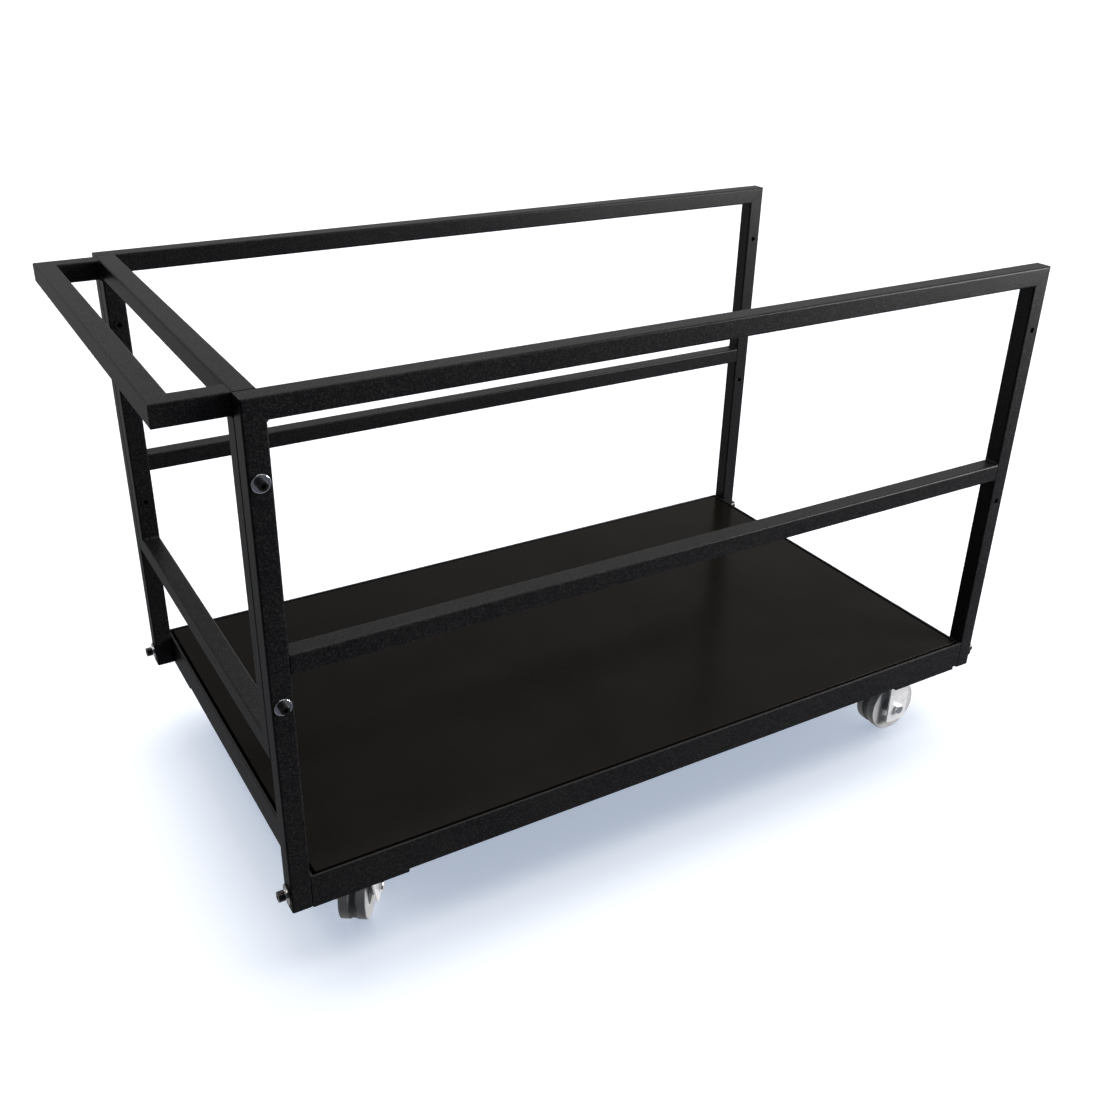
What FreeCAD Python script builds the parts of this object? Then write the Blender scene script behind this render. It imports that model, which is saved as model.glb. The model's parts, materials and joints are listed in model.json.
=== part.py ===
import FreeCAD, Part
import math
import os

# Rolling utility cart: two welded side frames and a push frame of square steel tube stand on
# a deck frame of steel angle, which rolls on two swivel and two fixed casters.
# X runs along the cart, with the push handle at -X and the open end at +X. Y runs across it.
# Z is up from the floor. The origin is on the floor, under the middle of the overall size.

Vec = FreeCAD.Vector
NEAR, FAR = -1, 1

# ---- driving dimensions, millimetres -------------------------------------------------------
TUBE = 30.0                  # outer width of every square tube
TUBE_WALL = 2.0
TUBE_CORNER = 3.0            # outer corner radius of the tube

SIDE_LENGTH = 1336.0         # over the posts of one side frame
CART_WIDTH = 752.0           # over both side frames
HANDLE_REACH = 93.0          # from the posts' outer face to the outer face of the grip bar
CASTER_HEIGHT = 125.0        # floor to the top of the caster plates

# Heights above the caster plates.
POST_BOTTOM = 2.0
RAIL_TOP = 759.0
MID_RAIL_TOP = 417.0
PUSH_RAIL_TOP = 275.0        # top of the push frame's lower rail
UPPER_SCREW = 655.0
LOWER_SCREW = 345.0
BASE_BOLT = 27.0

CORNER_PLATE = (148.0, 130.0, 5.0)
OPEN_PLATE_INSET = 8.0       # the open-end corner plates sit this far inside the deck frame
ANGLE_LEG = 50.0
ANGLE_WALL = 4.0
ANGLE_ROOT = 5.0             # inside radius where the legs of the angle meet
ANGLE_EDGE = 0.8             # small radius on the outer edges of the angle

PLATE_CORNER = 2.0

BOARD_THICKNESS = 16.0
BOARD_GAP = 5.0              # between the board's edge and the angle
BOARD_EDGE = 0.6
BOARD_CORNER = 1.5
BEARER_COUNT = 4
BEARER_END_GAP = 6.0

CLEARANCE_HOLE = 9.0         # for M8 screws
SCREW_DIAMETER = 8.0
CAP_HEAD = (13.0, 8.0)       # diameter and height of an M8 cap screw's head
CAP_HEAD_EDGE = 0.8
SOCKET = (6.0, 4.0)          # width across flats and depth
WASHER = (24.0, 9.0, 2.0)    # outer diameter, bore, thickness
WASHER_EDGE = 0.8            # radius rolled round the outer edge by the punch
SIDE_SCREW_LENGTH = 55.0

# M10 screws that fasten the side frames to the deck frame.
BASE_HOLE = 11.0
BASE_SCREW_DIAMETER = 10.0
BASE_CAP_HEAD = (16.0, 10.0)
BASE_SOCKET = (8.0, 5.0)
BASE_WASHER = (30.0, 10.5, 2.5)    # the large series, as wide as the tube
SPRING_WASHER = (16.0, 10.4, 2.6)
SPRING_WASHER_SPLIT = 2.0
BASE_NUT = (16.0, 10.0)      # across flats and height

RIVET_FLANGE = (16.0, 1.5)
RIVET_BODY = (11.0, 16.0)
RIVET_THREAD_END = 18.0      # depth of the bore behind the flange's face
HEX_WIDTH = 13.0             # across flats, M8 bolt and nut
HEX_HEAD_HEIGHT = 5.3
NUT_HEIGHT = 8.0
NUT_HEX_SHARE = 0.75         # of a lock nut's height; its round collar takes the rest
NUT_COLLAR_SHARE = 0.44      # the collar's radius as a share of the width across flats
THREAD_STANDOUT = 2.0        # how far a screw stands out of its nut
THREAD_CLEARANCE = 0.1       # on the diameter, between a nut and its screw

WHEEL_DIAMETER = 102.0
WHEEL_WIDTH = 42.0
TYRE_BORE = 66.0
TREAD_CORNER = 2.0
TREAD_GROOVE = (13.0, 1.6)   # width and depth of the shallow channel round the tread's middle
HUB_BOSS = (30.0, 60.0)      # diameter and length
HUB_WEB = (14.0, 22.0)       # thickness of the web at the boss and at the rim
HUB_RIM = (55.0, 41.0)       # inside diameter and width of the hub's rim
SLEEVE = (15.0, 10.2)        # outer and inner diameter
RUNNING_CLEARANCE = 0.05     # radial, hub on sleeve and fork on kingpin
AXLE_DIAMETER = 10.0
AXLE_HOLE = 10.2
AXLE_HEX = (16.0, 6.4, 8.0)  # across flats, head height, nut height

CASTER_PLATE = (105.0, 85.0, 3.0)
CASTER_PLATE_CORNER = 9.0
CASTER_HOLES = (80.0, 60.0)
SWIVEL_X = 112.0             # swivel axis, from the outer face of the handle-end posts
FIXED_X = 1198.5             # axle of the fixed casters, from the same face
CASTER_Y = 63.0              # from the outer face of the side frame
SWIVEL_TRAIL = 31.0
SWIVEL_REST = {NEAR: 57.0, FAR: -37.0}   # direction of each fork's trail from +X, degrees

FORK_GAP = 61.0
FORK_WALL = 3.0
FORK_BEND = 6.0              # outside radius of the bend from crown to leg
FORK_CROWN_TOP = 107.0
CROWN_RADIUS = 31.0          # the round seat of the lower race
SWIVEL_LEG_BOTTOM = 30.0
SWIVEL_LEG_HALF = 17.0       # half the leg's width at the axle
SWIVEL_LEG_CORNER = 12.0
LEG_BACK = 14.0              # the leg's back edge, behind the swivel axis
LEG_FRONT = 34.0             # the leg's front edge under the crown
LEG_SHOULDER = (93.0, 68.0)  # heights where the back and front edges turn
FIXED_LEG_BOTTOM = 25.0
FIXED_LEG_HALF = (23.0, 24.0)   # half the leg's width at its bottom and at the plate
FIXED_LEG_CORNER = 6.0
RACE_OUTER = 30.0
RACE_INNER = 19.0
RACE_GAP = 0.3               # from each race to the plane of the balls' centres
BALL_CIRCLE = 24.5
BALL_RADIUS = 3.0
BALL_HEIGHT = 115.0
BALL_COUNT = 16
BALL_CLEARANCE = 0.05
KINGPIN_RADIUS = 7.0
KINGPIN_HEAD = (11.0, 3.4)   # radius and height
KINGPIN_GAP = 0.4

# ---- derived places --------------------------------------------------------------------------
HALF_TUBE = TUBE / 2
BOLT_STANDOUT = BASE_WASHER[2] + SPRING_WASHER[2] + BASE_CAP_HEAD[1]
OVERALL_LENGTH = HANDLE_REACH + SIDE_LENGTH + BOLT_STANDOUT
POST_FACE_X = -OVERALL_LENGTH / 2 + HANDLE_REACH     # outer face of the handle-end posts
OPEN_FACE_X = POST_FACE_X + SIDE_LENGTH
SIDE_FACE_Y = CART_WIDTH / 2
BASE_START_X = POST_FACE_X + TUBE
BASE_END_X = OPEN_FACE_X - TUBE
DATUM_Z = CASTER_HEIGHT
ANGLE_BOTTOM = DATUM_Z + CORNER_PLATE[2]
ANGLE_TOP = ANGLE_BOTTOM + ANGLE_LEG
FLANGE_TOP = ANGLE_BOTTOM + ANGLE_WALL
SCREW_HEIGHTS = (DATUM_Z + LOWER_SCREW, DATUM_Z + UPPER_SCREW)
SWIVEL_CENTRE_X = POST_FACE_X + SWIVEL_X
FIXED_CENTRE_X = POST_FACE_X + FIXED_X
CASTER_CENTRE_Y = SIDE_FACE_Y - CASTER_Y
AXLE_Z = WHEEL_DIAMETER / 2
SIDE_NAMES = {NEAR: "near", FAR: "far"}

os.makedirs("parts", exist_ok=True)


def save(name, shape):
    """Write one node, after checking that its solids are valid."""
    solids = shape.Solids
    if not solids or not all(solid.isValid() for solid in solids):
        raise ValueError(name + " is not made of valid solids")
    result = solids[0] if len(solids) == 1 else Part.makeCompound(solids)
    result.exportStep("parts/" + name + ".step")


# ---- shape helpers ---------------------------------------------------------------------------
def rounded_wire(corners, place):
    """A closed wire through (u, v, radius) corners, each rounded by a tangent arc."""
    count = len(corners)
    entries = []
    for index, (u, v, radius) in enumerate(corners):
        corner = place(u, v)
        before = place(*corners[index - 1][:2]) - corner
        after = place(*corners[(index + 1) % count][:2]) - corner
        before.normalize()
        after.normalize()
        half_angle = before.getAngle(after) / 2
        reach = radius / math.tan(half_angle) if radius else 0
        middle_way = before + after
        middle_way.normalize()
        middle = corner + middle_way * (radius / math.sin(half_angle) - radius)
        entries.append((corner + before * reach, middle, corner + after * reach, radius))
    edges = []
    for index, (_, middle, leave, radius) in enumerate(entries):
        enter = entries[index][0]
        if radius:
            edges.append(Part.Arc(enter, middle, leave).toShape())
        following = entries[(index + 1) % count][0]
        if leave.distanceToPoint(following) > 1e-6:
            edges.append(Part.LineSegment(leave, following).toShape())
    return Part.Wire(edges)


def prism(corners, axis, start, length):
    """Extrude rounded corners along X, Y or Z from a start coordinate."""
    places = {"x": lambda u, v: Vec(start, u, v),
              "y": lambda u, v: Vec(u, start, v),
              "z": lambda u, v: Vec(u, v, start)}
    ways = {"x": Vec(length, 0, 0), "y": Vec(0, length, 0), "z": Vec(0, 0, length)}
    return Part.Face(rounded_wire(corners, places[axis])).extrude(ways[axis])


def rectangle(u, v, width, height, radius):
    """Corners of a rectangle centred on (u, v)."""
    half_w, half_h = width / 2, height / 2
    return [(u - half_w, v - half_h, radius), (u + half_w, v - half_h, radius),
            (u + half_w, v + half_h, radius), (u - half_w, v + half_h, radius)]


def square_tube(axis, centre, start, end):
    """A square tube along an axis; centre is its place in the other two axes."""
    inner_width = TUBE - 2 * TUBE_WALL
    outer = prism(rectangle(*centre, TUBE, TUBE, TUBE_CORNER), axis, start, end - start)
    inner = prism(rectangle(*centre, inner_width, inner_width, TUBE_CORNER - TUBE_WALL),
                  axis, start, end - start)
    return outer.cut(inner)


def mitre(shape, point, outward):
    """Cut away what lies on the outward side of a plane through a point."""
    size = 4 * SIDE_LENGTH
    block = Part.makeBox(size, size, size, Vec(-size / 2, -size / 2, 0))
    block.Placement = FreeCAD.Placement(point, FreeCAD.Rotation(Vec(0, 0, 1), outward))
    return shape.cut(block)


def drill(shape, holes):
    """Cut (start point, direction, diameter, depth) holes."""
    for start, way, diameter, depth in holes:
        shape = shape.cut(Part.makeCylinder(diameter / 2, depth, start, way))
    return shape


def aimed(shape, base, way):
    """Move a shape made along +Z at the origin to start at base and point along way."""
    shape.Placement = FreeCAD.Placement(base, FreeCAD.Rotation(Vec(0, 0, 1), way))
    return shape


def hexagon(across_flats, height):
    """A plain hexagonal prism standing on the origin."""
    radius = across_flats / math.sqrt(3)
    points = [Vec(radius * math.cos(math.radians(60 * k)),
                  radius * math.sin(math.radians(60 * k)), 0) for k in range(7)]
    return Part.Face(Part.makePolygon(points)).extrude(Vec(0, 0, height))


def hex_head(across_flats, height, base, way):
    """A hexagonal prism with a chamfered far end, as on a bolt head or nut."""
    radius = across_flats / math.sqrt(3)
    chamfer = radius - across_flats / 2
    cone = Part.makeCone(radius, across_flats / 2, chamfer, Vec(0, 0, height - chamfer))
    column = Part.makeCylinder(2 * radius, height - chamfer)
    return aimed(hexagon(across_flats, height).common(column.fuse(cone)), base, way)


def mirrored(shape):
    """The same shape on the far side of the cart."""
    return shape.mirror(Vec(0, 0, 0), Vec(0, 1, 0))


def save_pair(name, near_shape):
    """Write a near-side node and its mirror image."""
    save("near_" + name, near_shape)
    save("far_" + name, mirrored(near_shape))


# ---- fasteners -------------------------------------------------------------------------------
def cap_screw(seat, way, length, diameter=SCREW_DIAMETER, head_size=CAP_HEAD,
              socket_size=SOCKET):
    """A socket cap screw: its head rests on the seat, and its shank runs along way."""
    back = way * -1
    head_diameter, head_height = head_size
    across_flats, depth = socket_size
    head = Part.makeCylinder(head_diameter / 2, head_height, seat, back)
    rim = [edge for edge in head.Edges if edge.Closed
           and abs((edge.CenterOfMass - seat).dot(back) - head_height) < 0.01]
    head = head.makeFillet(CAP_HEAD_EDGE, rim)
    socket = aimed(hexagon(across_flats, depth + 1), seat + back * (head_height - depth), back)
    shank = Part.makeCylinder(diameter / 2, length, seat, way)
    return head.cut(socket).fuse(shank).removeSplitter()


def spring_washer(base, way):
    """A split ring standing on base."""
    outer, bore, thickness = SPRING_WASHER
    ring = Part.makeCylinder(outer / 2, thickness).cut(Part.makeCylinder(bore / 2, thickness))
    split = Part.makeBox(SPRING_WASHER_SPLIT, outer, thickness,
                         Vec(-SPRING_WASHER_SPLIT / 2, 0, 0))
    return aimed(ring.cut(split), base, way)


def washer(base, way, size=WASHER):
    """A flat washer standing on base, its far outer edge rounded."""
    outer, bore, thickness = size
    disc = Part.makeCylinder(outer / 2, thickness)
    rim = [edge for edge in disc.Edges if edge.Closed and edge.CenterOfMass.z > thickness / 2]
    ring = disc.makeFillet(WASHER_EDGE, rim).cut(Part.makeCylinder(bore / 2, thickness))
    return aimed(ring, base, way)


def hex_bolt(seat, way, length, diameter, across_flats, head_height):
    """A hex bolt: its head rests on the seat, and its shank runs along way."""
    head = hex_head(across_flats, head_height, seat, way * -1)
    return head.fuse(Part.makeCylinder(diameter / 2, length, seat, way))


def lock_nut(seat, way, diameter, across_flats, height):
    """A nut with a round locking collar on its far side."""
    body = hex_head(across_flats, NUT_HEX_SHARE * height, seat, way)
    collar = Part.makeCylinder(NUT_COLLAR_SHARE * across_flats, height, seat, way)
    bore = Part.makeCylinder((diameter + THREAD_CLEARANCE) / 2, height + 1, seat, way)
    return body.fuse(collar).cut(bore)


# ---- side frames -----------------------------------------------------------------------------
def make_side_frames():
    y = -SIDE_FACE_Y + HALF_TUBE
    top = DATUM_Z + RAIL_TOP
    screw_holes = [(Vec(0, -SIDE_FACE_Y - 1, z), Vec(0, 1, 0), CLEARANCE_HOLE, TUBE + 2)
                   for z in SCREW_HEIGHTS]
    ends = (("handle_post", POST_FACE_X, 1), ("open_post", OPEN_FACE_X, -1))
    rail = square_tube("x", (y, top - HALF_TUBE), POST_FACE_X, OPEN_FACE_X)
    for name, face_x, inward in ends:
        centre_x = face_x + inward * HALF_TUBE
        corner = Vec(face_x, y, top)
        post = square_tube("z", (centre_x, y), DATUM_Z + POST_BOTTOM, top)
        post = mitre(post, corner, Vec(inward, 0, 1))
        rail = mitre(rail, corner, Vec(-inward, 0, -1))
        side_holes = [(Vec(centre_x, hole[0].y, hole[0].z),) + hole[1:] for hole in screw_holes]
        bolt_hole = (Vec(face_x - inward, y, DATUM_Z + BASE_BOLT), Vec(inward, 0, 0),
                     BASE_HOLE, TUBE + 2)
        save_pair(name, drill(post, side_holes + [bolt_hole]))
    save_pair("top_rail", rail)
    save_pair("mid_rail", square_tube("x", (y, DATUM_Z + MID_RAIL_TOP - HALF_TUBE),
                                      BASE_START_X, BASE_END_X))


# ---- push frame and handle -------------------------------------------------------------------
def make_push_frame():
    x = POST_FACE_X + HALF_TUBE
    top = DATUM_Z + RAIL_TOP
    bottom = DATUM_Z + PUSH_RAIL_TOP - TUBE
    edge_y = SIDE_FACE_Y - TUBE
    post = square_tube("z", (x, -edge_y + HALF_TUBE), bottom, top)
    post = mitre(post, Vec(x, -edge_y, top), Vec(0, 1, 1))
    post = mitre(post, Vec(x, -edge_y, bottom), Vec(0, 1, -1))
    for z in SCREW_HEIGHTS:
        post = drill(post, [(Vec(x, -edge_y - 1, z), Vec(0, 1, 0), CLEARANCE_HOLE, HALF_TUBE),
                            (Vec(x, -edge_y + HALF_TUBE, z), Vec(0, 1, 0),
                             RIVET_BODY[0] + THREAD_CLEARANCE, TUBE)])
    save_pair("push_post", post)
    rails = (("push_crossbar", top - HALF_TUBE, top, -1), ("push_lower_rail", bottom + HALF_TUBE,
                                                           bottom, 1))
    for name, centre_z, corner_z, inward in rails:
        rail = square_tube("y", (x, centre_z), -edge_y, edge_y)
        for side in (NEAR, FAR):
            rail = mitre(rail, Vec(x, side * edge_y, corner_z), Vec(0, side, inward))
        save(name, rail)


def make_handle():
    z = DATUM_Z + RAIL_TOP - HALF_TUBE
    outer_x = POST_FACE_X - HANDLE_REACH
    edge_y = SIDE_FACE_Y - TUBE
    arm = square_tube("x", (-edge_y + HALF_TUBE, z), outer_x, POST_FACE_X)
    save_pair("handle_arm", mitre(arm, Vec(outer_x, -edge_y, z), Vec(-1, 1, 0)))
    grip = square_tube("y", (outer_x + HALF_TUBE, z), -edge_y, edge_y)
    for side in (NEAR, FAR):
        grip = mitre(grip, Vec(outer_x, side * edge_y, z), Vec(1, side, 0))
    save("handle_grip_bar", grip)


# ---- deck frame ------------------------------------------------------------------------------
def angle_corners(face, inward):
    """The L section, its upright leg against face and its flange at the bottom."""
    thick = inward * ANGLE_WALL
    reach = inward * ANGLE_LEG
    return [(face, ANGLE_BOTTOM, ANGLE_EDGE), (face + reach, ANGLE_BOTTOM, 0),
            (face + reach, FLANGE_TOP, ANGLE_WALL / 2), (face + thick, FLANGE_TOP, ANGLE_ROOT),
            (face + thick, ANGLE_TOP, ANGLE_WALL / 4), (face, ANGLE_TOP, ANGLE_EDGE)]


def caster_centres():
    return [(x, side * CASTER_CENTRE_Y) for x in (SWIVEL_CENTRE_X, FIXED_CENTRE_X)
            for side in (NEAR, FAR)]


def caster_bolt_places():
    """Every caster bolt's X and Y."""
    return [(x + i * CASTER_HOLES[0] / 2, y + j * CASTER_HOLES[1] / 2)
            for x, y in caster_centres() for i in (-1, 1) for j in (-1, 1)]


def caster_bolt_holes(low, high):
    return [(Vec(x, y, low - 1), Vec(0, 0, 1), CLEARANCE_HOLE, high - low + 2)
            for x, y in caster_bolt_places()]


def make_deck_frame():
    holes = caster_bolt_holes(ANGLE_BOTTOM, FLANGE_TOP)
    near = prism(angle_corners(-SIDE_FACE_Y, 1), "x", BASE_START_X, BASE_END_X - BASE_START_X)
    near = mitre(near, Vec(BASE_START_X, -SIDE_FACE_Y, 0), Vec(-1, 1, 0))
    near = mitre(near, Vec(BASE_END_X, -SIDE_FACE_Y, 0), Vec(1, 1, 0))
    save_pair("base_angle", drill(near, holes))
    ends = (("handle_base_angle", BASE_START_X, 1), ("open_base_angle", BASE_END_X, -1))
    for name, face_x, inward in ends:
        bar = prism(angle_corners(face_x, inward), "y", -SIDE_FACE_Y, CART_WIDTH)
        for side in (NEAR, FAR):
            bar = mitre(bar, Vec(face_x, side * SIDE_FACE_Y, 0), Vec(inward, side, 0))
        bolt_holes = [(Vec(face_x - inward, side * (SIDE_FACE_Y - HALF_TUBE),
                           DATUM_Z + BASE_BOLT), Vec(inward, 0, 0), BASE_HOLE,
                       2 * ANGLE_WALL) for side in (NEAR, FAR)]
        save(name, drill(bar, holes + bolt_holes))

    end_y = SIDE_FACE_Y - ANGLE_WALL - BEARER_END_GAP
    first = BASE_START_X + CORNER_PLATE[0] + TUBE
    last = FIXED_CENTRE_X - CASTER_PLATE[0] / 2 - TUBE
    for number in range(BEARER_COUNT):
        x = first + (last - first) * number / (BEARER_COUNT - 1)
        save("deck_bearer_%d" % (number + 1),
             square_tube("y", (x, FLANGE_TOP + HALF_TUBE), -end_y, end_y))

    inset = ANGLE_WALL + BOARD_GAP
    length = BASE_END_X - BASE_START_X - 2 * inset
    width = CART_WIDTH - 2 * inset
    middle_x = (BASE_START_X + BASE_END_X) / 2
    bottom = FLANGE_TOP + TUBE
    board = prism(rectangle(middle_x, 0, length, width, BOARD_CORNER), "z", bottom,
                  BOARD_THICKNESS)
    top_edges = [edge for edge in board.Edges
                 if abs(edge.CenterOfMass.z - bottom - BOARD_THICKNESS) < 0.01]
    save("deck_board", board.makeFillet(BOARD_EDGE, top_edges))

    size_x, size_y, thickness = CORNER_PLATE
    plates = []
    for side in (NEAR, FAR):
        y = side * (SIDE_FACE_Y - size_y / 2)
        for start_x in (BASE_START_X, BASE_END_X - OPEN_PLATE_INSET - size_x):
            plate = prism(rectangle(start_x + size_x / 2, y, size_x, size_y, PLATE_CORNER),
                          "z", DATUM_Z, thickness)
            plates += drill(plate, caster_bolt_holes(DATUM_Z, ANGLE_BOTTOM)).Solids
    save("caster_mounting_plates", Part.makeCompound(plates))


# ---- frame fasteners -------------------------------------------------------------------------
def make_frame_fasteners():
    screws, washers, rivets = [], [], []
    post_x = POST_FACE_X + HALF_TUBE
    for side in (NEAR, FAR):
        way = Vec(0, -side, 0)
        for z in SCREW_HEIGHTS:
            face = Vec(post_x, side * SIDE_FACE_Y, z)
            washers.append(washer(face, way * -1))
            screws.append(cap_screw(face - way * WASHER[2], way, SIDE_SCREW_LENGTH))
            inner = face + way * (2 * TUBE)
            flange = Part.makeCylinder(RIVET_FLANGE[0] / 2, RIVET_FLANGE[1], inner, way)
            body = Part.makeCylinder(RIVET_BODY[0] / 2, RIVET_BODY[1], inner, way * -1)
            bore = Part.makeCylinder((SCREW_DIAMETER + THREAD_CLEARANCE) / 2, TUBE,
                                     inner - way * RIVET_THREAD_END, way)
            rivets.append(flange.fuse(body).cut(bore))
    save("side_screws", Part.makeCompound(screws))
    save("side_washers", Part.makeCompound(washers))
    save("rivet_nuts", Part.makeCompound(rivets))

    bolts, rings, springs, nuts = [], [], [], []
    grip = TUBE + ANGLE_WALL
    stack = BASE_WASHER[2] + SPRING_WASHER[2]
    across_flats, nut_height = BASE_NUT
    length = stack + grip + nut_height + THREAD_STANDOUT
    for face_x, inward in ((POST_FACE_X, 1), (OPEN_FACE_X, -1)):
        way = Vec(inward, 0, 0)
        for side in (NEAR, FAR):
            face = Vec(face_x, side * (SIDE_FACE_Y - HALF_TUBE), DATUM_Z + BASE_BOLT)
            rings.append(washer(face, way * -1, BASE_WASHER))
            springs.append(spring_washer(face - way * BASE_WASHER[2], way * -1))
            bolts.append(cap_screw(face - way * stack, way, length, BASE_SCREW_DIAMETER,
                                   BASE_CAP_HEAD, BASE_SOCKET))
            nuts.append(lock_nut(face + way * grip, way, BASE_SCREW_DIAMETER, across_flats,
                                 nut_height))
    save("base_bolts", Part.makeCompound(bolts))
    save("base_washers", Part.makeCompound(rings))
    save("base_spring_washers", Part.makeCompound(springs))
    save("base_nuts", Part.makeCompound(nuts))


def on_flange(x, y):
    """Whether a caster bolt comes up through the angle's flange or only through the plate."""
    over_side = abs(y) > SIDE_FACE_Y - ANGLE_LEG
    over_end = x < BASE_START_X + ANGLE_LEG or x > BASE_END_X - ANGLE_LEG
    return over_side or over_end


def make_caster_fasteners():
    seat_z = CASTER_HEIGHT - CASTER_PLATE[2]
    bolt_length = (CASTER_PLATE[2] + CORNER_PLATE[2] + ANGLE_WALL + NUT_HEIGHT
                   + THREAD_STANDOUT)
    bolts, nuts = [], []
    for x, y in caster_bolt_places():
        bolts.append(hex_bolt(Vec(x, y, seat_z), Vec(0, 0, 1), bolt_length, SCREW_DIAMETER,
                              HEX_WIDTH, HEX_HEAD_HEIGHT))
        nut_z = FLANGE_TOP if on_flange(x, y) else ANGLE_BOTTOM
        nuts.append(lock_nut(Vec(x, y, nut_z), Vec(0, 0, 1), SCREW_DIAMETER, HEX_WIDTH,
                             NUT_HEIGHT))
    save("caster_bolts", Part.makeCompound(bolts))
    save("caster_nuts", Part.makeCompound(nuts))


# ---- casters ---------------------------------------------------------------------------------
# A caster's parts are made round its own axis at the origin, with the axle along Y and the
# trail along +X, then turned and moved into place.
def placed(shape, x, y, turn):
    copy = shape.copy()
    copy.rotate(Vec(0, 0, 0), Vec(0, 0, 1), turn)
    copy.translate(Vec(x, y, 0))
    return copy


def revolved(profile):
    """Turn (radius, along axle, corner radius) corners round the Y axis at the axle height."""
    wire = rounded_wire(profile, lambda r, w: Vec(r, w, 0))
    ring = Part.Face(wire).revolve(Vec(0, 0, 0), Vec(0, 1, 0), 360)
    ring.translate(Vec(0, 0, AXLE_Z))
    return ring


def wheel_hub():
    bore = SLEEVE[0] / 2 + RUNNING_CLEARANCE
    boss, boss_half = HUB_BOSS[0] / 2, HUB_BOSS[1] / 2
    rim_in, rim_half = HUB_RIM[0] / 2, HUB_RIM[1] / 2
    rim_out = TYRE_BORE / 2
    half = [(bore, boss_half, 0.5), (boss, boss_half, 1), (boss, HUB_WEB[0] / 2, 2),
            (rim_in, HUB_WEB[1] / 2, 2), (rim_in, rim_half, 1), (rim_out, rim_half, 0.5)]
    return revolved(half + [(r, -w, c) for r, w, c in reversed(half)])


def wheel_tyre():
    inner, outer, half = TYRE_BORE / 2, WHEEL_DIAMETER / 2, WHEEL_WIDTH / 2
    groove, depth = TREAD_GROOVE[0] / 2, TREAD_GROOVE[1]
    side = [(inner, half, 1), (outer, half, TREAD_CORNER),
            (outer, groove, 1), (outer - depth, groove - 2 * depth, 1)]
    return revolved(side + [(r, -w, c) for r, w, c in reversed(side)])


def fork_blank(top_z, silhouette, axle_x):
    """A U pressing: crown and two legs, trimmed to the silhouette seen from the side."""
    outer = FORK_GAP / 2 + FORK_WALL
    inner = FORK_GAP / 2
    section = [(-outer, 0, 0), (-outer, top_z, FORK_BEND), (outer, top_z, FORK_BEND),
               (outer, 0, 0), (inner, 0, 0), (inner, top_z - FORK_WALL, FORK_BEND - FORK_WALL),
               (-inner, top_z - FORK_WALL, FORK_BEND - FORK_WALL), (-inner, 0, 0)]
    length = 2 * WHEEL_DIAMETER
    pressing = prism(section, "x", -length / 2, length)
    trim = prism(silhouette, "y", -outer - 1, 2 * outer + 2)
    axle_hole = (Vec(axle_x, -outer - 1, AXLE_Z), Vec(0, 1, 0), AXLE_HOLE, 2 * outer + 2)
    return drill(pressing.common(trim), [axle_hole])


def caster_plate():
    size_x, size_y, thickness = CASTER_PLATE
    plate = prism(rectangle(0, 0, size_x, size_y, CASTER_PLATE_CORNER), "z",
                  CASTER_HEIGHT - thickness, thickness)
    holes = [(Vec(i * CASTER_HOLES[0] / 2, j * CASTER_HOLES[1] / 2, 0), Vec(0, 0, 1),
              CLEARANCE_HOLE, 2 * CASTER_HEIGHT) for i in (-1, 1) for j in (-1, 1)]
    return drill(plate, holes)


def ball_race(low, high):
    """A raceway ring between two heights, grooved for the balls."""
    ring = Part.makeCylinder(RACE_OUTER, high - low, Vec(0, 0, low))
    ring = ring.cut(Part.makeCylinder(RACE_INNER, high - low, Vec(0, 0, low)))
    return ring.cut(Part.makeTorus(BALL_CIRCLE, BALL_RADIUS + BALL_CLEARANCE,
                                   Vec(0, 0, BALL_HEIGHT)))


def swivel_fork():
    """The turning fork: a U pressing whose crown widens into the round seat of the lower race."""
    trail, half = SWIVEL_TRAIL, SWIVEL_LEG_HALF
    back_shoulder, front_shoulder = LEG_SHOULDER
    silhouette = [(-LEG_BACK, FORK_CROWN_TOP, 0), (-LEG_BACK, back_shoulder, 8),
                  (trail - half, SWIVEL_LEG_BOTTOM, SWIVEL_LEG_CORNER),
                  (trail + half, SWIVEL_LEG_BOTTOM, SWIVEL_LEG_CORNER),
                  (trail + half, front_shoulder, 12), (LEG_FRONT, FORK_CROWN_TOP, 0)]
    seat = Part.makeCylinder(CROWN_RADIUS, FORK_WALL, Vec(0, 0, FORK_CROWN_TOP - FORK_WALL))
    fork = fork_blank(FORK_CROWN_TOP, silhouette, trail).fuse(seat)
    return fork.fuse(ball_race(FORK_CROWN_TOP, BALL_HEIGHT - RACE_GAP)).removeSplitter()


def swivel_parts():
    under_plate = CASTER_HEIGHT - CASTER_PLATE[2]
    pin_bore = [(Vec(0, 0, 0), Vec(0, 0, 1), 2 * (KINGPIN_RADIUS + RUNNING_CLEARANCE),
                 2 * CASTER_HEIGHT)]
    plate = drill(caster_plate().fuse(ball_race(BALL_HEIGHT + RACE_GAP, under_plate)), pin_bore)
    fork = drill(swivel_fork(), pin_bore)

    head_radius, head_height = KINGPIN_HEAD
    head_top = FORK_CROWN_TOP - FORK_WALL - KINGPIN_GAP
    kingpin = Part.makeCylinder(KINGPIN_RADIUS, CASTER_HEIGHT - head_top, Vec(0, 0, head_top))
    kingpin = kingpin.fuse(Part.makeCylinder(head_radius, head_height,
                                             Vec(0, 0, head_top - head_height)))
    balls = []
    for number in range(BALL_COUNT):
        turn = 2 * math.pi * number / BALL_COUNT
        balls.append(Part.makeSphere(BALL_RADIUS, Vec(BALL_CIRCLE * math.cos(turn),
                                                      BALL_CIRCLE * math.sin(turn),
                                                      BALL_HEIGHT)))
    return {"top_plate": plate, "fork": fork, "kingpin": kingpin,
            "balls": Part.makeCompound(balls)}


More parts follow.
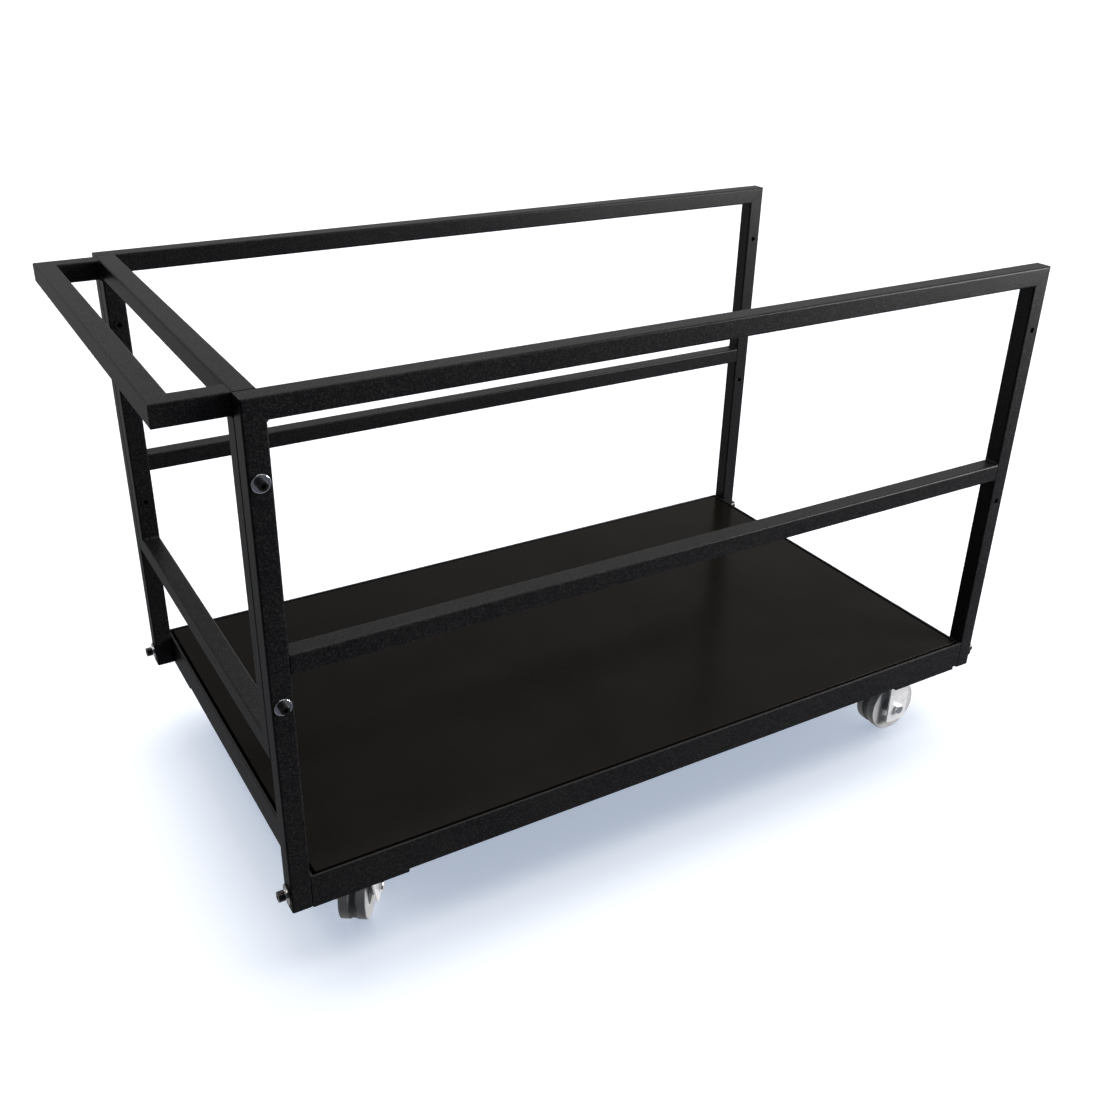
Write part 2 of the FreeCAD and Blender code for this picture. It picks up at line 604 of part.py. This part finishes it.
def fixed_bracket():
    """Top plate and fork of a fixed caster, welded into one bracket."""
    under_plate = CASTER_HEIGHT - CASTER_PLATE[2]
    low_half, top_half = FIXED_LEG_HALF
    silhouette = [(-top_half, under_plate, 0), (-low_half, FIXED_LEG_BOTTOM, FIXED_LEG_CORNER),
                  (low_half, FIXED_LEG_BOTTOM, FIXED_LEG_CORNER), (top_half, under_plate, 0)]
    return caster_plate().fuse(fork_blank(under_plate, silhouette, 0))


def axle_parts():
    outer = FORK_GAP / 2 + FORK_WALL
    across, head_height, nut_height = AXLE_HEX
    seat = Vec(0, -outer, AXLE_Z)
    bolt = hex_bolt(seat, Vec(0, 1, 0), 2 * outer + nut_height + THREAD_STANDOUT,
                    AXLE_DIAMETER, across, head_height)
    nut = lock_nut(Vec(0, outer, AXLE_Z), Vec(0, 1, 0), AXLE_DIAMETER, across, nut_height)
    start = Vec(0, -FORK_GAP / 2, AXLE_Z)
    sleeve = drill(Part.makeCylinder(SLEEVE[0] / 2, FORK_GAP, start, Vec(0, 1, 0)),
                   [(start, Vec(0, 1, 0), SLEEVE[1], FORK_GAP)])
    return {"axle_bolt": bolt, "axle_nut": nut, "axle_sleeve": sleeve}


def make_casters():
    swivel, axle, bracket = swivel_parts(), axle_parts(), fixed_bracket()
    hub, tyre = wheel_hub(), wheel_tyre()
    balls = []
    fixed_axles = {name: [] for name in axle}
    for side in (NEAR, FAR):
        label = SIDE_NAMES[side]
        y = side * CASTER_CENTRE_Y
        turn = SWIVEL_REST[side]
        wheel_x = SWIVEL_CENTRE_X + SWIVEL_TRAIL * math.cos(math.radians(turn))
        wheel_y = y + SWIVEL_TRAIL * math.sin(math.radians(turn))
        save(label + "_swivel_top_plate", placed(swivel["top_plate"], SWIVEL_CENTRE_X, y, 0))
        save(label + "_swivel_kingpin", placed(swivel["kingpin"], SWIVEL_CENTRE_X, y, 0))
        save(label + "_swivel_fork", placed(swivel["fork"], SWIVEL_CENTRE_X, y, turn))
        balls += placed(swivel["balls"], SWIVEL_CENTRE_X, y, 0).Solids
        for name, shape in axle.items():
            save(label + "_swivel_" + name, placed(shape, wheel_x, wheel_y, turn))
        save(label + "_swivel_hub", placed(hub, wheel_x, wheel_y, turn))
        save(label + "_swivel_tyre", placed(tyre, wheel_x, wheel_y, turn))

        flip = 0 if side == NEAR else 180
        save(label + "_fixed_bracket", placed(bracket, FIXED_CENTRE_X, y, 0))
        save(label + "_fixed_hub", placed(hub, FIXED_CENTRE_X, y, 0))
        save(label + "_fixed_tyre", placed(tyre, FIXED_CENTRE_X, y, 0))
        for name, shape in axle.items():
            fixed_axles[name] += placed(shape, FIXED_CENTRE_X, y, flip).Solids
    save("swivel_balls", Part.makeCompound(balls))
    for name, solids in fixed_axles.items():
        save("fixed_" + name + "s", Part.makeCompound(solids))


make_side_frames()
make_push_frame()
make_handle()
make_deck_frame()
make_frame_fasteners()
make_caster_fasteners()
make_casters()
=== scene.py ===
import json
import math

import bmesh
import bpy
from mathutils import Matrix, Vector, noise

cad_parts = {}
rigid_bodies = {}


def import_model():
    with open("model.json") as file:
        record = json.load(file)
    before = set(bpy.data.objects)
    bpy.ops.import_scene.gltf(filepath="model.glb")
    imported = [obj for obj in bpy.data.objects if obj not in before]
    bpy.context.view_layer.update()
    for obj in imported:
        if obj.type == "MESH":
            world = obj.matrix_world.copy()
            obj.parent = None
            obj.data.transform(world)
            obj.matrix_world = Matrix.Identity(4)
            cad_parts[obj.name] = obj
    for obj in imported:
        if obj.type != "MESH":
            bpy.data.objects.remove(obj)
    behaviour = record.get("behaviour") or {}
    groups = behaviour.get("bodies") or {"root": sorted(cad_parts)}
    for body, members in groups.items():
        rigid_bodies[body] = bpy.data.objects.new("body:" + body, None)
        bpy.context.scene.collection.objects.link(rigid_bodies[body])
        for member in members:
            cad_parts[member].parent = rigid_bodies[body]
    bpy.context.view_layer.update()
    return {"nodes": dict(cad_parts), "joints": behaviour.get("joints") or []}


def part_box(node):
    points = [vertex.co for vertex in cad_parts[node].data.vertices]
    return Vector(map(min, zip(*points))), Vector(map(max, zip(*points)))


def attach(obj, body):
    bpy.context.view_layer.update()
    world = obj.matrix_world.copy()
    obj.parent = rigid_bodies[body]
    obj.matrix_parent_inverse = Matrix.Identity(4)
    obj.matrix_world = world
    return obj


# Looks of the rolling utility cart. Metres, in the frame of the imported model: X runs along the
# cart from the push handle to the open end, Y runs across it, and Z is up from the floor.
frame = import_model()
NODES = frame["nodes"]
SIDES = {"near": -1, "far": 1}
MM = 0.001

# ---- camera and studio -----------------------------------------------------------------------
CAMERA_PLACE = (-0.97555, -1.622, 1.352)
CAMERA_HEADING = 31.07       # degrees from +Y towards +X
CAMERA_PITCH = -27.39
CAMERA_ROLL = 1.27
CAMERA_LENS = 39.27          # millimetres, on a 36 mm sensor

FLOOR_RADIUS = 12.0
COVE_RADIUS = 3.0
COVE_STEPS = 16
WALL_HEIGHT = 6.0
FLOOR_SEGMENTS = 96


# ---- material helpers ------------------------------------------------------------------------
class Nodes:
    """Short calls to add shader nodes to a node tree."""

    def __init__(self, tree):
        self.tree = tree

    def add(self, kind, **settings):
        node = self.tree.nodes.new(kind)
        for key, value in settings.items():
            setattr(node, key, value)
        return node

    def feed(self, socket, value):
        """Link a socket to another's output, or set its value."""
        if isinstance(value, bpy.types.NodeSocket):
            self.tree.links.new(value, socket)
        else:
            socket.default_value = value

    def scaled(self, x, y, z):
        """Object coordinates scaled by axis."""
        node = self.add("ShaderNodeMapping")
        self.feed(node.inputs["Vector"], self.place)
        node.inputs["Scale"].default_value = (x, y, z)
        return node.outputs["Vector"]

    def noise(self, size, detail=2.0, roughness=0.5, place=None):
        """Noise whose features are about size metres across."""
        node = self.add("ShaderNodeTexNoise")
        self.feed(node.inputs["Vector"], place or self.place)
        node.inputs["Scale"].default_value = 1 / size
        node.inputs["Detail"].default_value = detail
        node.inputs["Roughness"].default_value = roughness
        return node.outputs["Fac"]

    def cells(self, size, feature="F1"):
        node = self.add("ShaderNodeTexVoronoi", feature=feature)
        self.feed(node.inputs["Vector"], self.place)
        node.inputs["Scale"].default_value = 1 / size
        return node.outputs["Distance"]

    def spread(self, value, low, high, out_low, out_high):
        """Map value from low..high to out_low..out_high, clamped."""
        node = self.add("ShaderNodeMapRange")
        self.feed(node.inputs["Value"], value)
        for socket, number in (("From Min", low), ("From Max", high), ("To Min", out_low),
                               ("To Max", out_high)):
            node.inputs[socket].default_value = number
        return node.outputs["Result"]

    def colours(self, value, *stops):
        """A colour ramp over value; stops are (position, (r, g, b))."""
        ramp = self.add("ShaderNodeValToRGB")
        self.feed(ramp.inputs["Fac"], value)
        elements = ramp.color_ramp.elements
        while len(elements) < len(stops):
            elements.new(0.5)
        for element, (position, colour) in zip(elements, stops):
            element.position = position
            element.color = (*colour, 1)
        return ramp.outputs["Color"]

    def maths(self, operation, *values):
        node = self.add("ShaderNodeMath", operation=operation)
        for socket, value in zip(node.inputs, values):
            self.feed(socket, value)
        return node.outputs["Value"]

    def vector_maths(self, operation, a, b=None):
        """A vector sum or product; lengths and dot products come out as numbers."""
        node = self.add("ShaderNodeVectorMath", operation=operation)
        self.feed(node.inputs[0], a)
        if b is not None:
            self.feed(node.inputs[1], b)
        number = operation in ("LENGTH", "DOT_PRODUCT")
        return node.outputs["Value" if number else "Vector"]

    def blend(self, share, first, second):
        """The first colour, turning into the second as share goes from 0 to 1."""
        node = self.add("ShaderNodeMix", data_type="RGBA")
        self.feed(node.inputs["Factor"], share)
        for socket, colour in zip(node.inputs[6:8], (first, second)):
            self.feed(socket, (*colour, 1) if isinstance(colour, tuple) else colour)
        return node.outputs[2]

    def bump(self, height, depth, strength=1.0, under=None):
        """Bump of depth metres, over another bump if given."""
        node = self.add("ShaderNodeBump")
        self.feed(node.inputs["Height"], height)
        node.inputs["Distance"].default_value = depth
        node.inputs["Strength"].default_value = strength
        if under is not None:
            self.feed(node.inputs["Normal"], under)
        return node.outputs["Normal"]


class Shader(Nodes):
    """A node material with one Principled BSDF."""

    def __init__(self, name):
        self.material = bpy.data.materials.new(name)
        self.material.use_nodes = True
        super().__init__(self.material.node_tree)
        self.bsdf = self.tree.nodes["Principled BSDF"]
        self.place = self.add("ShaderNodeTexCoord").outputs["Object"]

    def set(self, **values):
        for key, value in values.items():
            self.feed(self.bsdf.inputs[key.replace("_", " ")], value)


# ---- materials -------------------------------------------------------------------------------
FASTENER_ENDINGS = ("washers", "nuts", "nut", "bolts", "bolt")
TREAD_EDGE = (20.7 * MM, 19.3 * MM)      # from the wheel's middle: side colour, then the tread's painted shade
CHANNEL_EDGE = (7.6 * MM, 5.2 * MM)      # the same for the tread and its channel of darker painted shade
CHANNEL_SHADE_WANDER = 1.5 * MM                # how far the edge of the channel's painted shade wanders
MOULD_RING_PITCH = 2.4 * MM


def powder_coat():
    """Black powder coat with a fine leathery texture."""
    s = Shader("powder_coat")
    grain = s.noise(0.0016, 3.0, 0.65)
    pores = s.cells(0.0021)
    tone = s.noise(0.07, 4.0, 0.6)
    fleck = s.spread(s.noise(0.0024, 2.0, 0.7), 0.48, 0.68, 0.0, 1.0)
    rough = s.bump(grain, 0.0003, 0.7, s.bump(pores, 0.0002, 0.5))
    base = s.colours(tone, (0.3, (0.0038, 0.0039, 0.0048)), (0.7, (0.0062, 0.0063, 0.0070)))
    s.set(Base_Color=s.blend(fleck, base, (0.021, 0.021, 0.022)),
          Roughness=s.spread(grain, 0.3, 0.7, 0.45, 0.6),
          Specular_IOR_Level=0.0,
          Coat_Weight=0.25,
          Coat_Roughness=0.33,
          Normal=rough,
          Coat_Normal=rough)
    return s.material


def deck_film():
    """Smooth brown-black phenolic film over plywood: faint grain, cloudy gloss and fine scuffs."""
    s = Shader("deck_film")
    grain = s.noise(0.02, 4.0, 0.6, s.scaled(0.12, 1, 1))
    mottle = s.noise(0.16, 4.0, 0.6)
    fine = s.noise(0.0007, 2.0)
    scuffs = s.spread(s.noise(0.006, 5.0, 0.75, s.scaled(0.06, 1.4, 1)), 0.63, 0.72, 0.0, 0.6)
    skin = s.bump(fine, 0.00005, 0.5, s.bump(grain, 0.00025, 0.15))
    base = s.colours(mottle, (0.3, (0.0036, 0.0030, 0.0024)), (0.7, (0.0055, 0.0047, 0.0039)))
    s.set(Base_Color=s.blend(scuffs, base, (0.018, 0.016, 0.014)),
          Roughness=s.spread(mottle, 0.3, 0.7, 0.3, 0.4),
          Specular_IOR_Level=0.0,
          Coat_Weight=0.13,
          Coat_Roughness=0.19,
          Normal=skin,
          Coat_Normal=skin)
    return s.material


def zinc_plate(name="zinc_plate", dark=(0.80, 0.81, 0.83), light=(0.93, 0.93, 0.93),
               metallic=0.5, rough=(0.26, 0.38)):
    """Bright zinc plating over pressed steel: faint rolling streaks and cloudy sheen."""
    s = Shader(name)
    streaks = s.noise(0.0012, 3.0, 0.6, s.scaled(1, 1, 0.15))
    cloud = s.noise(0.012, 3.0)
    s.set(Base_Color=s.colours(cloud, (0.25, dark), (0.75, light)),
          Metallic=metallic,
          Roughness=s.spread(cloud, 0.3, 0.7, *rough),
          Normal=s.bump(streaks, 0.00006, 0.4))
    return s.material


def zinc_fastener():
    """The thinner, shinier plating of washers, screws and nuts."""
    return zinc_plate("zinc_fastener", (0.60, 0.62, 0.65), (0.74, 0.75, 0.76), 1.0, (0.09, 0.17))


def black_steel():
    """Black-oxide fastener steel, oiled."""
    s = Shader("black_steel")
    tone = s.noise(0.004, 3.0)
    s.set(Base_Color=s.colours(tone, (0.3, (0.012, 0.012, 0.013)), (0.7, (0.022, 0.022, 0.022))),
          Metallic=0.6,
          Roughness=s.spread(tone, 0.3, 0.7, 0.13, 0.24),
          Normal=s.bump(s.noise(0.0004), 0.00003, 0.4))
    return s.material


def bearing_steel():
    """Ground steel balls and sleeves."""
    s = Shader("bearing_steel")
    tone = s.noise(0.003, 2.0)
    s.set(Base_Color=(0.56, 0.56, 0.57, 1),
          Metallic=1.0,
          Roughness=s.spread(tone, 0.3, 0.7, 0.16, 0.28))
    return s.material


def grey_tyre(wheel):
    """Grey non-marking rubber: pale sides with moulded rings, and a tread darkened with painted
    shade, darkest in its channel, where the painted shade stands for the groove's shadow."""
    s = Shader("grey_tyre_" + wheel)
    spin = next(joint for joint in frame["joints"] if joint["child"] == wheel)
    from_hub = s.vector_maths("SUBTRACT", s.place, spin["pos_m"])
    along = s.maths("ABSOLUTE", s.vector_maths("DOT_PRODUCT", from_hub, spin["axis"]))
    distance = s.vector_maths("LENGTH", from_hub)
    radius = s.maths("SQRT", s.maths("SUBTRACT", s.maths("POWER", distance, 2.0),
                                     s.maths("POWER", along, 2.0)))
    dust = s.noise(0.013, 4.0, 0.65)
    # the edge of the channel's painted shade wanders by a noise
    shade_wander = s.spread(s.noise(0.03, 3.0, 0.6), 0.35, 0.65, -CHANNEL_SHADE_WANDER, CHANNEL_SHADE_WANDER)
    side = s.colours(dust, (0.3, (0.33, 0.335, 0.34)), (0.7, (0.39, 0.395, 0.40)))
    # painted shade: the tread and, darker still, its channel get darker colours than the sides, for
    # the shade they lie in
    tread_shade = s.colours(dust, (0.3, (0.235, 0.238, 0.242)), (0.7, (0.30, 0.30, 0.30)))
    channel_shade = s.colours(dust, (0.3, (0.055, 0.056, 0.058)), (0.7, (0.09, 0.09, 0.091)))
    on_tread = s.spread(along, *TREAD_EDGE, 0.0, 1.0)
    in_channel = s.spread(s.maths("ADD", along, shade_wander), *CHANNEL_EDGE, 0.0, 1.0)
    shaded_tread = s.blend(in_channel, tread_shade, channel_shade)
    rings = s.maths("SINE", s.maths("MULTIPLY", radius, 2 * math.pi / MOULD_RING_PITCH))
    skin = s.noise(0.0009, 3.0)
    s.set(Base_Color=s.blend(on_tread, side, shaded_tread),
          Roughness=s.spread(dust, 0.3, 0.7, 0.5, 0.72),
          Specular_IOR_Level=0.35,
          Normal=s.bump(skin, 0.00014, 0.5, s.bump(rings, 0.00003, 0.35)))
    return s.material


def grey_hub():
    """Light grey moulded nylon."""
    s = Shader("grey_hub")
    tone = s.noise(0.01, 3.0)
    skin = s.noise(0.0005, 2.0)
    s.set(Base_Color=s.colours(tone, (0.3, (0.36, 0.375, 0.385)), (0.7, (0.44, 0.455, 0.465))),
          Roughness=s.spread(tone, 0.3, 0.7, 0.42, 0.55),
          Normal=s.bump(skin, 0.00005, 0.4))
    return s.material


MATERIALS = {make.__name__: make() for make in (powder_coat, deck_film, zinc_plate, black_steel,
                                                bearing_steel, grey_hub)}


def dress_frame():
    """Every CAD node takes the material of the slot it was packed with; a tyre has its own,
    because its tread is found from its wheel's axle, and plated fasteners are shinier."""
    shiny = zinc_fastener()
    for name, node in NODES.items():
        for place in node.material_slots:
            slot = place.material.name.split(".")[0]
            if slot == "grey_tyre":
                place.material = grey_tyre(name.replace("_tyre", "_wheel"))
            elif slot == "zinc_plate" and name.endswith(FASTENER_ENDINGS):
                place.material = shiny
            else:
                place.material = MATERIALS[slot]


# ---- welds -----------------------------------------------------------------------------------
WELD_LEG = 4.2 * MM
WELD_SINK = 0.5 * MM         # how far a bead reaches into the metal on both sides
WELD_RIPPLE = 1.9 * MM       # pitch of the ripples along a bead
WELD_STEP = 0.45 * MM
WELD_ARC = 7                 # points over the face of a bead
WELD_CROWN = 0.38            # 0 gives a flat face between the legs, 1 a quarter round
WELD_UNEVEN = 0.12           # share of the leg taken by the ripples, and by slow wander
WELD_WANDER_RATE = 160.0     # per metre
WELD_TIP = 0.15              # how much of a bead's section is left at its very ends
SEAM_SIZE = (2.6 * MM, 0.16 * MM)        # width and height of a weld that was ground flush
SEAM_WIDTH_NOISE = (300.0, 0.35)         # rate per metre and share of the width
SEAM_HEIGHT_NOISE = (420.0, 0.5)
TUBE_EDGE = 2.0 * MM         # beads stop this far short of a tube's rounded corners
STITCH_END = 6 * MM
PLATE_SIZE = (148 * MM, 130 * MM)        # length and width of one caster mounting plate
BEARER_COUNT = 4


def weld_section(leg):
    """Points of a bead's section as (along u, along v), with a rounded face."""
    points = [(-WELD_SINK, -WELD_SINK)]
    for step in range(WELD_ARC):
        turn = math.pi / 2 * step / (WELD_ARC - 1)
        flat = leg / (math.cos(turn) + math.sin(turn))
        reach = (1 - WELD_CROWN) * flat + WELD_CROWN * leg
        points.append((reach * math.cos(turn), reach * math.sin(turn)))
    points[1] = (points[1][0], -WELD_SINK)
    points[-1] = (-WELD_SINK, points[-1][1])
    return points


def cover(mesh, rings):
    """Close a row of equal rings of vertices into one skin with two ends."""
    points = len(rings[0])
    for ring, following in zip(rings, rings[1:]):
        for k in range(points):
            after = (k + 1) % points
            mesh.faces.new((ring[k], ring[after], following[after], following[k]))
    mesh.faces.new(rings[0][::-1])
    mesh.faces.new(rings[-1])


def add_bead(mesh, start, end, u, v):
    """A rippled fillet bead in the corner line from start to end, where one face runs along u
    and the other along v."""
    start, end, u, v = Vector(start), Vector(end), Vector(u), Vector(v)
    leg = WELD_LEG
    length = (end - start).length
    count = max(8, round(length / WELD_STEP))
    rings = []
    for step in range(count + 1):
        along = step / count
        place = start.lerp(end, along)
        ripple = abs(math.sin(math.pi * along * length / WELD_RIPPLE))
        wander = noise.noise(place * WELD_WANDER_RATE) * WELD_UNEVEN
        nearest_end = min(along, 1 - along) * length
        taper = math.sqrt(min(1.0, WELD_TIP + nearest_end / leg))
        size = leg * taper * (1 - WELD_UNEVEN + WELD_UNEVEN * ripple + wander)
        rings.append([mesh.verts.new(place + u * a + v * b) for a, b in weld_section(size)])
    cover(mesh, rings)


def add_seam(mesh, start, end, across, out):
    """The faint ridge of a weld that was ground flush, along a mitre from start to end."""
    start, end, across, out = Vector(start), Vector(end), Vector(across), Vector(out)
    width, height = SEAM_SIZE
    width_rate, width_share = SEAM_WIDTH_NOISE
    height_rate, height_share = SEAM_HEIGHT_NOISE
    count = max(8, round((end - start).length / MM))
    rings = []
    for step in range(count + 1):
        place = start.lerp(end, step / count)
        wide = width / 2 * (1 + width_share * noise.noise(place * width_rate))
        high = height * (1 + height_share * noise.noise(place * height_rate))
        section = [(-wide, -WELD_SINK), (-wide, 0), (-wide / 2, high), (wide / 2, high),
                   (wide, 0), (wide, -WELD_SINK)]
        rings.append([mesh.verts.new(place + across * a + out * b) for a, b in section])
    cover(mesh, rings)


def finish_weld(name, mesh):
    """Turn a bmesh into a smooth-shaded, powder-coated piece that rides on the frame."""
    bmesh.ops.recalc_face_normals(mesh, faces=mesh.faces)
    data = bpy.data.meshes.new(name)
    mesh.to_mesh(data)
    mesh.free()
    for face in data.polygons:
        face.use_smooth = len(face.vertices) == 4
    piece = bpy.data.objects.new(name, data)
    bpy.context.scene.collection.objects.link(piece)
    data.materials.append(MATERIALS["powder_coat"])
    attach(piece, "frame")


def make_side_frame_welds(side):
    """Fillets inside the corners of a side frame, and ground seams on its open-end mitre."""
    mesh = bmesh.new()
    (_, y0, rail_z), (_, y1, top_z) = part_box(side + "_top_rail")
    y0, y1 = y0 + TUBE_EDGE, y1 - TUBE_EDGE
    mid_low, mid_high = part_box(side + "_mid_rail")
    handle_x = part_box(side + "_handle_post")[1].x
    open_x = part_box(side + "_open_post")[0].x
    for x, inward in ((handle_x, 1), (open_x, -1)):
        for z, way in ((rail_z, -1), (mid_high.z, 1), (mid_low.z, -1)):
            add_bead(mesh, (x, y0, z), (x, y1, z), (inward, 0, 0), (0, 0, way))
    outer_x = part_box(side + "_open_post")[1].x
    for y, out in ((y0 - TUBE_EDGE, -1), (y1 + TUBE_EDGE, 1)):
        add_seam(mesh, (outer_x - TUBE_EDGE, y, top_z - TUBE_EDGE),
                 (open_x + TUBE_EDGE, y, rail_z + TUBE_EDGE),
                 (math.sqrt(0.5), 0, -math.sqrt(0.5)), (0, out, 0))
    finish_weld(side + "_side_frame_welds", mesh)


def make_push_frame_welds():
    """Fillets inside the corners of the push frame."""
    mesh = bmesh.new()
    cross_low, cross_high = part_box("push_crossbar")
    rail_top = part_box("push_lower_rail")[1].z
    x0, x1 = cross_low.x + TUBE_EDGE, cross_high.x - TUBE_EDGE
    for side, sign in SIDES.items():
        inner = min(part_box(side + "_push_post"), key=lambda corner: abs(corner.y)).y
        for z, way in ((cross_low.z, -1), (rail_top, 1)):
            add_bead(mesh, (x0, inner, z), (x1, inner, z), (0, -sign, 0), (0, 0, way))
    finish_weld("push_frame_welds", mesh)


def make_handle_welds():
    """Fillets between the arms and the push frame, and inside the grip's corners."""
    mesh = bmesh.new()
    cross_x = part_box("push_crossbar")[0].x
    grip_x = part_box("handle_grip_bar")[1].x
    for side, sign in SIDES.items():
        low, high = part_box(side + "_handle_arm")
        z0, z1 = low.z + TUBE_EDGE, high.z - TUBE_EDGE
        inner = min((low, high), key=lambda corner: abs(corner.y)).y
        for x, way in ((cross_x, -1), (grip_x, 1)):
            add_bead(mesh, (x, inner, z0), (x, inner, z1), (way, 0, 0), (0, -sign, 0))
        add_bead(mesh, (cross_x, low.y + TUBE_EDGE, low.z), (cross_x, high.y - TUBE_EDGE, low.z),
                 (-1, 0, 0), (0, 0, -1))
    finish_weld("handle_welds", mesh)


def make_deck_frame_welds():
    """Stitch welds where the caster mounting plates lie under the angle's flange, and where
    the bearers stand on it."""
    mesh = bmesh.new()
    flange_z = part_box("near_base_angle")[0].z
    side_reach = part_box("near_base_angle")[1].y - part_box("near_base_angle")[0].y
    edge_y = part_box("far_base_angle")[1].y
    plate_length, plate_width = PLATE_SIZE
    low_x, high_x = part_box("caster_mounting_plates")[0].x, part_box("caster_mounting_plates")[1].x
    for sign in SIDES.values():
        outer, inner = sign * (edge_y - STITCH_END), sign * (edge_y - side_reach + STITCH_END)
        for x, way in ((low_x + plate_length, 1), (high_x - plate_length, -1)):
            add_bead(mesh, (x, outer, flange_z), (x, inner, flange_z), (way, 0, 0), (0, 0, -1))
        y = sign * (edge_y - plate_width)
        for x, way in ((low_x, 1), (high_x, -1)):
            add_bead(mesh, (x + way * STITCH_END, y, flange_z),
                     (x + way * (side_reach - 2 * STITCH_END), y, flange_z),
                     (0, -sign, 0), (0, 0, -1))
    for number in range(1, BEARER_COUNT + 1):
        low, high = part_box("deck_bearer_%d" % number)
        for sign in SIDES.values():
            for x, way in ((low.x, -1), (high.x, 1)):
                add_bead(mesh, (x, sign * (high.y - STITCH_END), low.z),
                         (x, sign * (high.y - 4 * STITCH_END), low.z), (way, 0, 0), (0, 0, 1))
    finish_weld("deck_frame_welds", mesh)


# ---- stage -----------------------------------------------------------------------------------
def studio_material(name, glow, strength):
    """Overexposed white: what the lamps don't reach still shows its glow."""
    s = Shader(name)
    s.set(Base_Color=(0.8, 0.8, 0.8, 1), Roughness=0.9, Specular_IOR_Level=0.1,
          Emission_Color=(*glow, 1), Emission_Strength=strength)
    return s.material


def make_stage():
    """A pale round floor that curves up into a wall, out of the object's way."""
    profile = [(0.0, 0.0), (FLOOR_RADIUS, 0.0)]
    for step in range(1, COVE_STEPS + 1):
        turn = math.pi / 2 * step / COVE_STEPS
        profile.append((FLOOR_RADIUS + COVE_RADIUS * math.sin(turn),
                        COVE_RADIUS * (1 - math.cos(turn))))
    profile.append((FLOOR_RADIUS + COVE_RADIUS, WALL_HEIGHT))
    mesh = bmesh.new()
    points = [mesh.verts.new((r, 0, z)) for r, z in profile]
    edges = [mesh.edges.new(pair) for pair in zip(points, points[1:])]
    bmesh.ops.spin(mesh, geom=points + edges, cent=(0, 0, 0), axis=(0, 0, 1),
                   angle=2 * math.pi, steps=FLOOR_SEGMENTS)
    bmesh.ops.remove_doubles(mesh, verts=mesh.verts, dist=1e-5)
    bmesh.ops.recalc_face_normals(mesh, faces=mesh.faces)
    data = bpy.data.meshes.new("studio_floor")
    mesh.to_mesh(data)
    mesh.free()
    for face in data.polygons:
        face.use_smooth = True
        face.material_index = int(face.center.z > 0.001)
    floor = bpy.data.objects.new("studio_floor", data)
    bpy.context.scene.collection.objects.link(floor)
    data.materials.append(studio_material("studio_floor", (0.70, 0.81, 1.0), 0.52))
    data.materials.append(studio_material("studio_wall", (1.0, 1.0, 1.0), 0.95))
    floor.visible_diffuse = False
    floor.visible_glossy = False


def add_lamp(name, kind, energy, colour, place, target, **settings):
    """A lamp at place that shines at target, out of sight of any camera."""
    data = bpy.data.lights.new(name, kind)
    data.energy = energy
    data.color = colour
    for key, value in settings.items():
        setattr(data, key, value)
    lamp = bpy.data.objects.new(name, data)
    aim = Vector(target) - Vector(place)
    lamp.matrix_world = Matrix.Translation(place) @ aim.to_track_quat("-Z", "Y").to_matrix().to_4x4()
    lamp.visible_camera = False
    bpy.context.scene.collection.objects.link(lamp)
    return lamp


def make_world():
    """What the cart reflects: a dim hall in front, a bright wall behind it and to its right,
    and the pale floor straight below."""
    world = bpy.data.worlds.new("studio")
    world.use_nodes = True
    n = Nodes(world.node_tree)
    way = n.add("ShaderNodeSeparateXYZ")
    n.feed(way.inputs["Vector"], n.add("ShaderNodeTexCoord").outputs["Generated"])
    x, y, z = way.outputs
    right = n.spread(x, 0.2, 0.9, 0.0, 0.78)
    behind = n.maths("MULTIPLY", n.spread(y, 0.1, 0.9, 0.0, 1.1), n.spread(z, 0.8, 0.2, 0.1, 1.0))
    below = n.spread(z, 0.0, -0.5, 1.0, 0.45)
    bounce = n.spread(z, -0.6, -0.95, 0.09, 0.8)
    light = n.maths("ADD", n.maths("MULTIPLY", n.maths("ADD", right, behind), below), bounce)
    background = world.node_tree.nodes["Background"]
    n.feed(background.inputs["Color"],
           n.colours(light, (0.08, (0.80, 0.86, 1.0)), (0.8, (1.0, 0.99, 0.97))))
    n.feed(background.inputs["Strength"], light)
    bpy.context.scene.world = world


def make_lights():
    add_lamp("ceiling_lights", "SUN", 2.7, (1.0, 0.96, 0.90), (0.5, 0.55, 3), (0, 0, 0),
             angle=math.radians(70))
    softbox = add_lamp("open_end_softbox", "AREA", 125.0, (1.0, 0.98, 0.96), (2.2, -1.7, 1.2),
                       (0.4, -0.3, 0.4), shape="SQUARE", size=1.2)
    cart = bpy.data.collections.new("cart")
    for piece in bpy.context.scene.collection.all_objects:
        if piece.type == "MESH" and not piece.name.startswith("studio"):
            cart.objects.link(piece)
    softbox.light_linking.receiver_collection = cart


def make_camera():
    camera = bpy.data.cameras.new("camera")
    camera.lens = CAMERA_LENS
    camera.sensor_width = 36.0
    camera.clip_end = 100.0
    holder = bpy.data.objects.new("camera", camera)
    turn = (Matrix.Rotation(math.radians(-CAMERA_HEADING), 4, "Z")
            @ Matrix.Rotation(math.radians(90 + CAMERA_PITCH), 4, "X")
            @ Matrix.Rotation(math.radians(CAMERA_ROLL), 4, "Z"))
    holder.matrix_world = Matrix.Translation(CAMERA_PLACE) @ turn
    bpy.context.scene.collection.objects.link(holder)
    bpy.context.scene.camera = holder
    bpy.context.scene.view_settings.view_transform = "Standard"


dress_frame()
for side_name in SIDES:
    make_side_frame_welds(side_name)
make_push_frame_welds()
make_handle_welds()
make_deck_frame_welds()
make_stage()
make_world()
make_lights()
make_camera()
